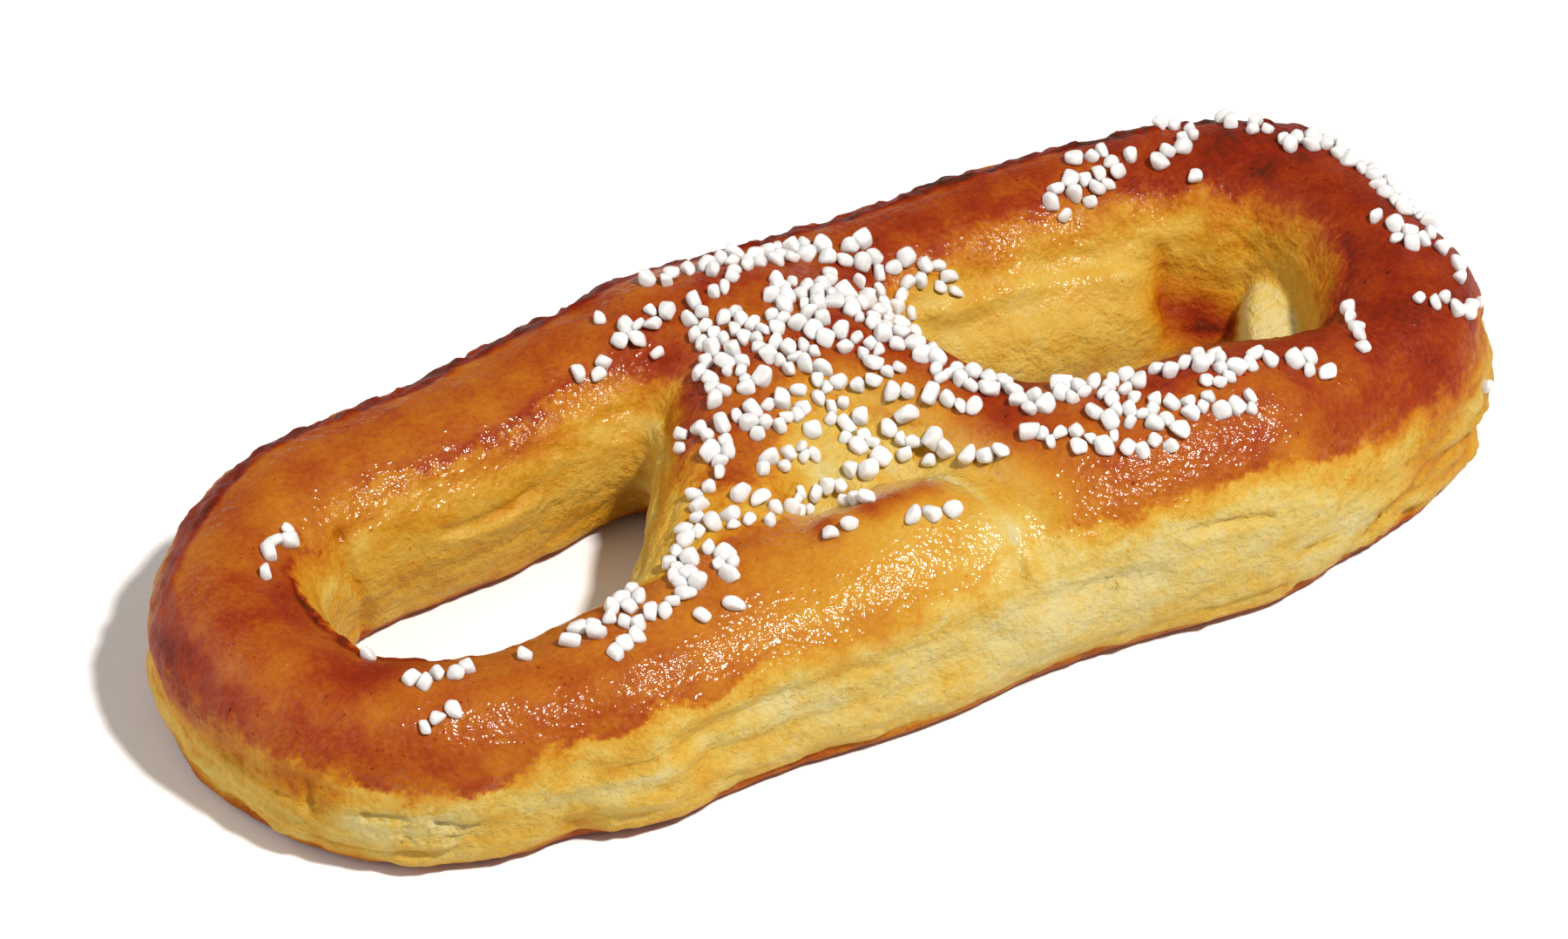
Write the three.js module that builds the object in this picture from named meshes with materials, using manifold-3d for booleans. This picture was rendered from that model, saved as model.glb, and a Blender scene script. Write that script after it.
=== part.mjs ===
// A sweet bun of the danish pastry family: one rope of egg-washed dough baked as an oblong figure of
// eight. The rope closes into a ring, two strands cross inside it as a bridge that leaves a hole on
// either side, and grains of pearl sugar stick to the top. Millimetres, +Z up, lying flat on z = 0.

import * as THREE from "three";
import { mergeVertices } from "three/addons/utils/BufferGeometryUtils.js";
import Module from "manifold-3d";

const wasm = await Module();
wasm.setup();

// Strands, as stations on their centre lines seen from above: x, y, half width, height.
const RING = [
  [-79.5, 0, 12, 23.2],
  [-75.5, -13.5, 11.5, 22.2],
  [-65.5, -22.5, 11.3, 22.2],
  [-48.5, -25.5, 11.5, 22.2],
  [-27, -26, 12.2, 23.2],
  [-5, -26.5, 13.5, 24.7],
  [12, -25.5, 13.2, 25.2],
  [29, -24.5, 14.5, 27.7],
  [48, -25.2, 14, 28.9],
  [67.5, -23.8, 11.7, 26.3],
  [78.5, -14.5, 12.5, 27.2],
  [80, 0, 10.4, 26.2],
  [77.4, 15.3, 13, 24.3],
  [63, 23.2, 12.8, 23.2],
  [44.5, 26.5, 12, 22.7],
  [23, 26.5, 12.5, 22.7],
  [2, 26, 13, 23.2],
  [-19, 26, 13.4, 23.2],
  [-41, 22.5, 13.2, 23.2],
  [-62.5, 20, 12.8, 23.2],
  [-75.5, 11.5, 12.3, 23.2],
];
const OVER = [
  [-7, 25, 13, 24.7],
  [3, 17, 13.5, 26.7],
  [8, 6, 13, 27.7],
  [13, -5, 12.5, 27.7],
  [21, -16, 13, 27.2],
  [33, -24, 13, 27.7],
  [46, -25.5, 13, 27.7],
];
const UNDER = [
  [-39, -26.5, 11.5, 22.2],
  [-28, -22.5, 12, 23.2],
  [-19.5, -13, 12.5, 24.2],
  [-13, -4, 12.5, 25.2],
  [-6, 6.5, 13, 26.2],
  [2, 19, 13, 24.7],
];
const HUB = [
  [-4, 6, 13, 24.7],
  [2, -6, 13, 23.2],
  [2, -16, 11, 22.2],
];
const LEDGE = [
  [21, 20, 9, 14],
  [37, 17.2, 9.2, 14.5],
  [50, 14.8, 8, 14.5],
];
const NUB = [
  [65.6, -5.2, 4.4, 12.3],
  [67.2, -2.2, 4.6, 12.8],
  [69, 0.6, 4.8, 13.3],
];
const CORNER = [
  [55, 16.8, 8, 10],
  [64.5, 11.8, 6.8, 9],
];
const SAMPLES_PER_STATION = 12;

// A strand's section stands on its flat base: a superellipse, widest a little below half its height.
const BELLY_SHARE = 0.4;
const SECTION_POWER = 2.1;
const NUB_POWER = 4; // the nub is blunter than the strands
const TUCK = 1.75; // how far the lower half would reach below its belly, in belly heights

// Radii of the soft joins between the strands.
const LEDGE_BLEND = 2.5;
const NUB_BLEND = 2.5;
const CORNER_BLEND = 6;
const CROSSING_BLEND = 5;
const HUB_BLEND = 4;
const BRIDGE_BLEND = 6;

// The crease where the front strand's end is tucked against the bridge, and the pocket behind it.
const SEAM = [
  [-9, -13],
  [4, -14.5],
  [10, -18],
  [12.5, -25],
  [14.5, -33],
];
const SEAM_DEPTH = 1.3;
const SEAM_WIDTH = 2.6;
const POCKET = { x: 4, y: -6, halfLength: 9, halfWidth: 6, depth: 1 };
const DENT_FLOOR = 12; // dents fade in above this level
const DENT_FADE = 6;

// Pearl sugar: patches seen from above, as a line from x, y to x, y, a spread and a number of grains.
const SUGAR_PATCHES = [
  [-10.5, 28.5, -1, 29, 1, 9],
  [-1, 26.5, 0.5, 23.5, 0.9, 6],
  [2, 27, 9, 26.5, 2.6, 24],
  [10.5, 27.5, 17, 24, 2.2, 18],
  [18.5, 25.5, 20.5, 25, 0.9, 3],
  [12.3, 20.3, 9.5, 17.2, 0.7, 3],
  [-6, 22.3, -2, 22.3, 0.7, 6],
  [-16.3, 22.3, -10.3, 23.2, 1.3, 8],
  [-24, 20, -19.5, 20.5, 1.2, 6],
  [-17.7, 27, -13.8, 18.2, 0.3, 2],
  [-7.5, 19.5, -7, 14.5, 1.8, 14],
  [-4.5, 17.5, -1.5, 11, 2.2, 23],
  [4, 18.5, 7.5, 14, 2.2, 20],
  [2, 15, 3.5, 11, 1.7, 12],
  [-10, 12, -11.8, 4, 1, 9],
  [-7.3, 11, -7, 4.5, 1.6, 14],
  [-3, 9.5, 2, 3.5, 2.4, 30],
  [4.5, 9.5, 8, 1.5, 1.9, 23],
  [11.5, 14, 12, 3, 2.2, 28],
  [16.5, 19.5, 17, 12, 2, 16],
  [19.5, 22, 21, 15, 1.4, 10],
  [13.5, 1, 15, -3, 1.6, 12],
  [15.5, -5.5, 18.5, -10, 1.8, 18],
  [20, -10, 22, -18, 1.3, 15],
  [23, 20.5, 28.5, 18, 1.8, 14],
  [-17.5, 2.5, -10, -0.5, 1.5, 12],
  [-15.5, -2.5, -17.2, -6, 1.4, 10],
  [-10.5, -2.8, -2.6, -1.4, 1, 10],
  [-6.3, 0, 3, 0.8, 1.2, 15],
  [1, -1.5, 10.5, -2, 0.6, 7],
  [-4.7, -4, 4.2, -4, 1, 6],
  [-0.5, -7, 8, -8.8, 1, 10],
  [8.4, -5.3, 16.4, -13.5, 0.8, 8],
  [-12.4, -8, -4, -6.8, 1.1, 10],
  [-13.5, -14.8, -8, -11.4, 1, 12],
  [-6, -11.6, 7, -11.3, 1, 22],
  [-5, -17, -3.8, -21, 0.5, 3],
  [8.5, -13, 14.5, -21.7, 1, 7],
  [-10.6, -24, -7.7, -24, 0.4, 2],
  [-2.3, -26.6, 6.4, -27.6, 0.4, 3],
  [-31.5, -28.3, -23, -27.7, 0.3, 2],
  [-20, -7.5, -23.5, -11.5, 1, 6],
  [-17.3, -11.4, -15.2, -13.5, 0.8, 3],
  [-26, -13.5, -17.3, -16.5, 1.7, 13],
  [-24, -19, -25, -22.8, 1.3, 8],
  [-28.3, -17.5, -30, -23.5, 1.8, 11],
  [-45.6, -24, -36, -20.5, 1.5, 13],
  [-39, -25, -31.2, -24.8, 1, 9],
  [-42.4, -28.3, -38.5, -27.3, 0.9, 5],
  [-52.7, -22.6, -52.5, -22.6, 0.2, 1],
  [-67.5, -21, -59.6, -21.8, 1.1, 8],
  [-70, -26.8, -64.4, -27, 0.4, 3],
  [-69.7, -12.6, -69.5, -12.6, 0.2, 1],
  [-77.5, 3.8, -68.5, 11.5, 1, 5],
  [20, -21.5, 26.5, -28.5, 1.4, 20],
  [26, -17, 34, -20, 2, 19],
  [28, -23, 36, -28, 2.4, 24],
  [28, -30.3, 34, -31, 0.8, 7],
  [38.7, -21, 45, -21.5, 1.8, 14],
  [43, -25, 51, -25, 1.5, 16],
  [37.5, -28, 46, -30, 1.2, 14],
  [54.5, -24.5, 58, -28.5, 1.2, 8],
  [68.2, -16, 65.2, -25.5, 0.6, 5],
  [75.6, -21.3, 81.3, -22.3, 1, 7],
  [83, -22.3, 86, -20, 0.8, 4],
  [83, -27.7, 83.2, -27.9, 0.1, 1],
  [79.7, -5.5, 82, -12, 1.8, 10],
  [83.5, 15.5, 85.5, 6.5, 1.5, 13],
  [85.2, 4, 85.6, -6.5, 1.5, 15],
  [84.8, -9.5, 85, -17, 1.3, 10],
  [78.3, 15.7, 82, 13.3, 1.1, 6],
  [75, 25, 77.5, 20, 1.4, 12],
  [61.5, 21, 69.5, 24.3, 1.1, 9],
  [66, 29.5, 69, 27.5, 0.5, 3],
  [65.3, 17, 65.4, 17, 0.1, 1],
  [46.5, 21.3, 58.5, 23.5, 2.2, 18],
  [53, 27.2, 57.3, 26.5, 0.7, 4],
];
const GRAIN_SMALL = 1.9;
const GRAIN_LARGE = 3;
const GRAIN_GAP = 0.72; // least distance between two grains, as a share of their mean size
const GRAIN_NARROW = 0.76; // least width and thickness, as shares of the length
const GRAIN_THIN = 0.62;
const GRAIN_VARIATION = 0.2;
const GRAIN_LIFT = 0.2; // height of a grain's middle above the crust, as a share of its size
const PLACING_ATTEMPTS = 30;
const SEED = 20711;

// The largest grains are part of the solid, each a little apart from the next.
const FUSED_GRAINS = 185;
const FUSED_GAP = 1.05;
const BLOCK_SHARE = 0.85; // a fused grain is a block, smaller than the grain by its rounded corners

// Net of cells over which the crust is meshed.
const NET_STEP = 3.8;
const NET_LOW = new THREE.Vector3(-97, -47, -14);
const NET_HIGH = new THREE.Vector3(97, 47, 34);
const SETTLING_STEPS = 3;
const PROBE = 0.05; // half the distance over which slopes are measured
const SEARCH_STEP = 0.5; // step down from above to the crust, then halved to its exact level
const SEARCH_HALVINGS = 20;
const LEAST_RADIUS = 1e-6; // keeps the fields finite on a strand's centre line
const LEAST_SLOPE = 1e-4;
const LEAST_CLIMB = 0.1;
const BASE_CUT = 300; // size of the block that cuts the base flat

const CRUST_COLOR = 0xb9601c;

// Samples along a strand's stations, or along a plain line of points.
function sampled(stations, closed = false) {
  const places = stations.map(([x, y]) => new THREE.Vector3(x, y, 0));
  const sizes = stations.map(([, , halfWidth = 1, height = 1]) => new THREE.Vector3(halfWidth, height, 0));
  const placeCurve = new THREE.CatmullRomCurve3(places, closed, "catmullrom");
  const sizeCurve = new THREE.CatmullRomCurve3(sizes, closed, "catmullrom");
  const steps = SAMPLES_PER_STATION * (closed ? stations.length : stations.length - 1);
  return Array.from({ length: steps + 1 }, (_, i) => {
    const { x, y } = placeCurve.getPoint(i / steps);
    const size = sizeCurve.getPoint(i / steps);
    return { x, y, halfWidth: size.x, height: size.y };
  });
}

const ring = sampled(RING, true);
const over = sampled(OVER);
const under = sampled(UNDER);
const hub = sampled(HUB);
const ledge = sampled(LEDGE);
const nub = sampled(NUB);
const corner = sampled(CORNER);
const seam = sampled(SEAM);

// Signed distance, about, from a point to a strand's section. It is negative inside.
function sectionField(away, z, { halfWidth, height }, power) {
  const belly = BELLY_SHARE * height;
  const reach = z > belly ? height - belly : belly * TUCK;
  const across = away / halfWidth;
  const along = Math.abs(z - belly) / reach;
  const radius = Math.max((across ** power + along ** power) ** (1 / power), LEAST_RADIUS);
  const slopeAcross = (across / radius) ** (power - 1) / halfWidth;
  const slopeAlong = (along / radius) ** (power - 1) / reach;
  return (radius - 1) / Math.max(Math.hypot(slopeAcross, slopeAlong), LEAST_SLOPE);
}

// The sample whose section the point is nearest to, measured in half widths, and the plan distance.
function nearest(samples, x, y) {
  let share = Infinity;
  let sample = samples[0];
  for (const candidate of samples) {
    const here = ((x - candidate.x) ** 2 + (y - candidate.y) ** 2) / candidate.halfWidth ** 2;
    if (here < share) {
      share = here;
      sample = candidate;
    }
  }
  return { sample, away: Math.sqrt(share) * sample.halfWidth };
}

function strandField(samples, { x, y, z }, power = SECTION_POWER) {
  const { sample, away } = nearest(samples, x, y);
  return sectionField(away, z, sample, power);
}

// Union of two fields with a soft join.
function blended(a, b, radius) {
  const share = THREE.MathUtils.clamp(0.5 + (0.5 * (b - a)) / radius, 0, 1);
  return b * (1 - share) + a * share - radius * share * (1 - share);
}

// Depth by which the seam and the pocket press the crust in.
function dentDepth({ x, y, z }) {
  const seamDent = SEAM_DEPTH * Math.exp(-((nearest(seam, x, y).away / SEAM_WIDTH) ** 2));
  const pocketX = (x - POCKET.x) / POCKET.halfLength;
  const pocketY = (y - POCKET.y) / POCKET.halfWidth;
  const pocketDent = POCKET.depth * Math.exp(-(pocketX ** 2 + pocketY ** 2));
  return (seamDent + pocketDent) * THREE.MathUtils.clamp((z - DENT_FLOOR) / DENT_FADE, 0, 1);
}

function doughField(point) {
  let sides = strandField(ring, point);
  sides = blended(sides, strandField(ledge, point), LEDGE_BLEND);
  sides = blended(sides, strandField(corner, point), CORNER_BLEND);
  sides = blended(sides, strandField(nub, point, NUB_POWER), NUB_BLEND);
  let bridge = blended(strandField(over, point), strandField(under, point), CROSSING_BLEND);
  bridge = blended(bridge, strandField(hub, point), HUB_BLEND);
  return blended(sides, bridge, BRIDGE_BLEND) + dentDepth(point);
}

// How the dough's field climbs at a point: its gradient.
function doughSlope(point) {
  const slope = new THREE.Vector3();
  for (const axis of ["x", "y", "z"]) {
    const ahead = point.clone();
    const behind = point.clone();
    ahead[axis] += PROBE;
    behind[axis] -= PROBE;
    slope[axis] = (doughField(ahead) - doughField(behind)) / (2 * PROBE);
  }
  return slope;
}

// Surface net of the dough: a vertex in each cell that the crust crosses, and a quad round each edge
// of the grid that it crosses.
function doughNet() {
  const counts = NET_HIGH.clone().sub(NET_LOW).divideScalar(NET_STEP).ceil().addScalar(1).toArray();
  const gridPoint = (cell) => new THREE.Vector3(...cell).multiplyScalar(NET_STEP).add(NET_LOW);
  const key = ([i, j, k]) => (i * counts[1] + j) * counts[2] + k;
  const cells = [];
  for (let i = 0; i < counts[0]; i++) {
    for (let j = 0; j < counts[1]; j++) {
      for (let k = 0; k < counts[2]; k++) cells.push([i, j, k]);
    }
  }
  const values = cells.map((cell) => doughField(gridPoint(cell)));

  const stepped = (cell, axis, by) => cell.map((index, a) => (a === axis ? index + by : index));
  const crossings = new Map(); // cell to the points where its edges meet the crust
  const edges = []; // each crossed edge, with the four cells round it
  for (const cell of cells)
    for (const axis of [0, 1, 2]) {
      const next = stepped(cell, axis, 1);
      if (next[axis] === counts[axis]) continue;
      const here = values[key(cell)];
      const there = values[key(next)];
      if (here < 0 === there < 0) continue;
      const meeting = gridPoint(cell).lerp(gridPoint(next), here / (here - there));
      const second = (axis + 1) % 3;
      const third = (axis + 2) % 3;
      const beside = stepped(cell, second, -1);
      const round = [cell, beside, stepped(beside, third, -1), stepped(cell, third, -1)].map(key);
      for (const near of round) crossings.set(near, [...(crossings.get(near) ?? []), meeting]);
      edges.push(here < 0 ? round : round.reverse());
    }

  const order = new Map([...crossings.keys()].map((cell, index) => [cell, index]));
  const points = [...crossings.values()].map((met) => {
    const middle = met.reduce((sum, point) => sum.add(point), new THREE.Vector3());
    return settled(middle.divideScalar(met.length));
  });
  return { points, quads: edges.map((round) => round.map((cell) => order.get(cell))) };
}

// Moves a point along the slope until it lies on the crust.
function settled(point) {
  for (let step = 0; step < SETTLING_STEPS; step++) {
    const slope = doughSlope(point);
    point.addScaledVector(slope, -doughField(point) / Math.max(slope.lengthSq(), LEAST_CLIMB));
  }
  return point;
}

// Triangles of a net, each quad split along its shorter diagonal.
function netGeometry({ points, quads }) {
  const index = quads.flatMap(([a, b, c, d]) =>
    points[a].distanceToSquared(points[c]) < points[b].distanceToSquared(points[d])
      ? [a, b, c, a, c, d]
      : [b, c, d, b, d, a],
  );
  return new THREE.BufferGeometry().setFromPoints(points).setIndex(index);
}

// A closed geometry as a solid that can be joined and cut.
function solidOf(geometry) {
  const bare = geometry.clone().deleteAttribute("normal").deleteAttribute("uv");
  const merged = mergeVertices(bare);
  const vertProperties = new Float32Array(merged.attributes.position.array);
  const triVerts = new Uint32Array(merged.index.array);
  return new wasm.Manifold(new wasm.Mesh({ numProp: 3, vertProperties, triVerts }));
}

function geometryOf(solid) {
  const { vertProperties, triVerts } = solid.getMesh();
  const geometry = new THREE.BufferGeometry();
  geometry.setAttribute("position", new THREE.BufferAttribute(vertProperties, 3));
  geometry.setIndex(new THREE.BufferAttribute(triVerts, 1));
  geometry.computeVertexNormals();
  return geometry;
}

// Repeatable draws from 0 to 1.
function seededDraw(seed) {
  const factor = 48271;
  const modulus = 2147483647;
  let state = seed;
  return () => {
    state = (state * factor) % modulus;
    return state / modulus;
  };
}

// All grains of sugar, the largest first. A grain that finds no clear place is left out.
function scatteredGrains() {
  const draw = seededDraw(SEED);
  const grains = [];
  const isClear = (x, y, size) =>
    grains.every((grain) => Math.hypot(grain.x - x, grain.y - y) > (GRAIN_GAP * (grain.size + size)) / 2);
  for (const [startX, startY, endX, endY, spread, count] of SUGAR_PATCHES)
    for (let made = 0; made < count; made++) {
      const size = GRAIN_SMALL + (GRAIN_LARGE - GRAIN_SMALL) * draw();
      const width = size * (GRAIN_NARROW + GRAIN_VARIATION * draw());
      const thickness = size * (GRAIN_THIN + GRAIN_VARIATION * draw());
      const turns = [draw(), draw(), draw()].map((share) => 2 * Math.PI * share);
      for (let attempt = 0; attempt < PLACING_ATTEMPTS; attempt++) {
        const along = draw();
        const away = spread * Math.sqrt(draw());
        const turn = 2 * Math.PI * draw();
        const x = THREE.MathUtils.lerp(startX, endX, along) + away * Math.cos(turn);
        const y = THREE.MathUtils.lerp(startY, endY, along) + away * Math.sin(turn);
        if (!isClear(x, y, size)) continue;
        grains.push({ x, y, size, width, thickness, turns });
        break;
      }
    }
  return grains.sort((a, b) => b.size - a.size);
}

// The grains that are fused to the crust: the largest ones that stand apart from each other.
function fusedGrains() {
  const chosen = [];
  for (const grain of scatteredGrains()) {
    const apart = (other) =>
      Math.hypot(other.x - grain.x, other.y - grain.y) > (FUSED_GAP * (other.size + grain.size)) / 2;
    if (chosen.length < FUSED_GRAINS && chosen.every(apart)) chosen.push(grain);
  }
  return chosen;
}

// The topmost point of the crust above a place in plan.
function crustAbove(x, y) {
  let low = 0;
  let high = NET_HIGH.z;
  for (let z = high; z > 0; z -= SEARCH_STEP) {
    if (doughField({ x, y, z }) < 0) {
      low = z;
      high = z + SEARCH_STEP;
      break;
    }
  }
  for (let halving = 0; halving < SEARCH_HALVINGS; halving++) {
    const middle = (low + high) / 2;
    if (doughField({ x, y, z: middle }) < 0) low = middle;
    else high = middle;
  }
  return new THREE.Vector3(x, y, low);
}

function grainSolid({ x, y, size, width, thickness, turns }) {
  const place = crustAbove(x, y);
  place.addScaledVector(doughSlope(place).normalize(), GRAIN_LIFT * size);
  const grain = new THREE.BoxGeometry(size, width, thickness);
  grain.scale(BLOCK_SHARE, BLOCK_SHARE, BLOCK_SHARE);
  grain.applyQuaternion(new THREE.Quaternion().setFromEuler(new THREE.Euler(...turns)));
  grain.translate(place.x, place.y, place.z);
  return solidOf(grain);
}

// The dough, cut flat where it lies, with the sugar joined to it. Only the outer skin is kept, which
// fills any gap that grains close off and drops any that touch nothing.
function bunSolid() {
  const below = new THREE.BoxGeometry(BASE_CUT, BASE_CUT, BASE_CUT).translate(0, 0, -BASE_CUT / 2);
  let bun = solidOf(netGeometry(doughNet())).subtract(solidOf(below));
  for (const grain of fusedGrains()) bun = bun.add(grainSolid(grain));
  return bun.decompose().sort((a, b) => b.volume() - a.volume())[0];
}

const bun = new THREE.Mesh(
  geometryOf(bunSolid()),
  new THREE.MeshStandardMaterial({ color: CRUST_COLOR, roughness: 0.38, metalness: 0 }),
);
bun.name = "bun";

const pastry = new THREE.Group();
pastry.add(bun);

export default pastry;
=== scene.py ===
import itertools
import math

import bpy
import numpy as np
from mathutils import Euler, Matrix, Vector
from mathutils.bvhtree import BVHTree


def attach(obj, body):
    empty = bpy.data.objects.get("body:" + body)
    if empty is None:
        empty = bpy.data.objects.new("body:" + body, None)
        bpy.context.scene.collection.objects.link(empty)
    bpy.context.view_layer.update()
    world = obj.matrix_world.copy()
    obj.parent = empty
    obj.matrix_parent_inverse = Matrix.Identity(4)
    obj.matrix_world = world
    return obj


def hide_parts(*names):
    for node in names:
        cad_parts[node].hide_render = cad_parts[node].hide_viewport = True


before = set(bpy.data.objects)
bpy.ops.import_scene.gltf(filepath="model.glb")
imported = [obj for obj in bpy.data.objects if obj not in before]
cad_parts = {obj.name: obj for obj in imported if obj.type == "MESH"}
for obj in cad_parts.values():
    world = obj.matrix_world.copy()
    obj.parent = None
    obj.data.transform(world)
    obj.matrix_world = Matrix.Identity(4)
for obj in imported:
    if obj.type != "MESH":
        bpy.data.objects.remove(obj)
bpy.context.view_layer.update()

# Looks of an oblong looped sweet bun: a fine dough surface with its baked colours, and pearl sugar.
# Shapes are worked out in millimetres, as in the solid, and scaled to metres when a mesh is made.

MM = 0.001

# Camera: where it looks, from which side, and how far away.
CAMERA_AIM = (-4.1, 1.5, 12.7)
CAMERA_AZIMUTH = -27.5
CAMERA_ELEVATION = 43.0
CAMERA_DISTANCE = 900.0
CAMERA_LENS = 160.7

# Light: one small bright source from the front right, a broad soft one from behind on the left, and an
# even pale surround.
KEY_DIRECTION = (0.23, -0.44, 0.87)
KEY_DISTANCE = 1300.0
KEY_SIZE = 130.0
KEY_POWER = 20.0
KEY_COLOR = (1.0, 0.975, 0.94)
FILL_DIRECTION = (-0.8, 0.42, 0.45)
FILL_DISTANCE = 2000.0
FILL_SIZE = 2500.0
FILL_POWER = 27.0
FILL_COLOR = (1.0, 0.98, 0.95)
SURROUND_COLOR = (1.0, 0.99, 0.97)
SURROUND_STRENGTH = 0.2
FLOOR_SIZE = 6000.0
FLOOR_SHADER = {"Base Color": (0.93, 0.93, 0.925, 1.0), "Roughness": 0.9}

# Strands of dough, as stations on their centre lines: x, y, half width, height.
RING = (
    (-79.5, 0, 12, 23.2),
    (-75.5, -13.5, 11.5, 22.2),
    (-65.5, -22.5, 11.3, 22.2),
    (-48.5, -25.5, 11.5, 22.2),
    (-27, -26, 12.2, 23.2),
    (-5, -26.5, 13.5, 24.7),
    (12, -25.5, 13.2, 25.2),
    (29, -24.5, 14.5, 27.7),
    (48, -25.2, 14, 28.9),
    (67.5, -23.8, 11.7, 26.3),
    (78.5, -14.5, 12.5, 27.2),
    (80, 0, 10.4, 26.2),
    (77.4, 15.3, 13, 24.3),
    (63, 23.2, 12.8, 23.2),
    (44.5, 26.5, 12, 22.7),
    (23, 26.5, 12.5, 22.7),
    (2, 26, 13, 23.2),
    (-19, 26, 13.4, 23.2),
    (-41, 22.5, 13.2, 23.2),
    (-62.5, 20, 12.8, 23.2),
    (-75.5, 11.5, 12.3, 23.2),
)
OVER = (
    (-7, 25, 13, 24.7),
    (3, 17, 13.5, 26.7),
    (8, 6, 13, 27.7),
    (13, -5, 12.5, 27.7),
    (21, -16, 13, 27.2),
    (33, -24, 13, 27.7),
    (46, -25.5, 13, 27.7),
)
UNDER = (
    (-39, -26.5, 11.5, 22.2),
    (-28, -22.5, 12, 23.2),
    (-19.5, -13, 12.5, 24.2),
    (-13, -4, 12.5, 25.2),
    (-6, 6.5, 13, 26.2),
    (2, 19, 13, 24.7),
)
HUB = ((-4, 6, 13, 24.7), (2, -6, 13, 23.2), (2, -16, 11, 22.2))
LEDGE = ((21, 20, 9, 14), (37, 17.2, 9.2, 14.5), (50, 14.8, 8, 14.5))
NUB = ((65.6, -5.2, 4.4, 12.3), (67.2, -2.2, 4.6, 12.8), (69, 0.6, 4.8, 13.3))
CORNER = ((55, 16.8, 8, 10), (64.5, 11.8, 6.8, 9))
SAMPLES_PER_STATION = 12

# A strand's section is a superellipse, widest a little below half its height.
BELLY_SHARE = 0.4
SECTION_POWER = 2.1
NUB_POWER = 4.0
TUCK = 1.75

# Radii of the soft joins between the strands, and of the rounded foot.
LEDGE_BLEND = 2.5
NUB_BLEND = 2.5
CORNER_BLEND = 6.0
CROSSING_BLEND = 5.0
HUB_BLEND = 4.0
BRIDGE_BLEND = 6.0
FOOT_BLEND = 3.0

# The crease where the front strand's end is tucked against the bridge, and the pocket behind it.
SEAM = ((-9, -13), (4, -14.5), (10, -18), (12.5, -25), (14.5, -33))
SEAM_DEPTH = 1.3
SEAM_WIDTH = 2.6
POCKET_CENTRE = (4.0, -6.0)
POCKET_HALF_SIZE = (9.0, 6.0)
POCKET_DEPTH = 1.0
DENT_FLOOR = 12.0
DENT_FADE = 6.0

# Net of cells over which the crust is meshed.
NET_STEP = 0.69
NET_LOW = (-97.03, -46.02, -2.1)
NET_HIGH = (97.0, 46.0, 34.0)
SETTLING_STEPS = 2
PROBE = 0.05

# Crust at each station of the ring: share of the height where the glaze ends on the outer and on the
# inner side, how strong its red edge is on either side, how golden the wall below it is, and how dark
# and blistered the outer and the inner shoulder are.
CRUST = (
    (0.66, 0.87, 0.2, 1.0, 0.15, 0.25, 1),
    (0.68, 0.87, 0.4, 0.9, 0.10, 0.1, 1),
    (0.67, 0.86, 0.9, 0.5, 0.07, 0, 0.7),
    (0.76, 0.86, 0.8, 0.3, 0.08, 0, 0.35),
    (0.84, 0.88, 0.3, 0.2, 0.05, 0, 0.1),
    (0.80, 0.88, 0.2, 0.2, 0.03, 0, 0),
    (0.87, 0.86, 0.3, 0.2, 0.03, 0, 0),
    (0.86, 0.84, 0.9, 0.3, 0.03, 0, 0),
    (0.80, 0.84, 0.6, 0.4, 0.07, 0, 0.3),
    (0.76, 0.84, 0.3, 0.5, 0.15, 0, 0.4),
    (0.78, 0.88, 0.15, 0.6, 0.27, 0.1, 0.3),
    (0.80, 0.93, 0.2, 0.2, 0.18, 0.5, 0),
    (0.80, 0.90, 0.4, 0.3, 0.18, 0.9, 0),
    (0.80, 0.95, 0.6, 0.5, 0.17, 1, 0),
    (0.80, 0.95, 0.6, 0.4, 0.14, 1, 0),
    (0.80, 0.93, 0.6, 0.4, 0.14, 1, 0),
    (0.80, 0.90, 0.6, 0.3, 0.12, 1, 0),
    (0.80, 0.94, 0.6, 0.4, 0.19, 1, 0),
    (0.80, 0.92, 0.6, 0.8, 0.20, 1, 0),
    (0.80, 0.95, 0.6, 0.3, 0.20, 1, 0),
    (0.74, 0.92, 0.4, 0.5, 0.19, 0.7, 0.3),
)

# The same for the bridge, which has no dark shoulder, and the tone of the nub.
BRIDGE_EDGE = 0.88
BRIDGE_FRINGE = 0.3
BRIDGE_WALL = 0.1
NUB_WALL = 0.04

# Places on the walls that are browner or paler: x, y, z, reach, change of tone. The first four paint shade
# into the recess and its crease beside the nub in the right-hand hole.
WALL_TONE_AND_SHADE_SPOTS = (
    (60.5, 8, 8, 5, 0.42),
    (57, 9.5, 10.5, 3, 0.22),
    (60.5, 6.8, 4, 4, 0.14),
    (64, 4, 6, 3.5, 0.40),
    (46, 12, 17, 5, 0.10),
    (71, 3, 20, 5, 0.08),
    (-82, -22, 11, 6, 0.08),
    (-84, -21, 10, 5, 0.05),
    (-74, -30, 12, 5, -0.09),
    (-25, -38, 16, 5, -0.06),
    (-42, -39, 6, 6, 0.07),
)

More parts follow.
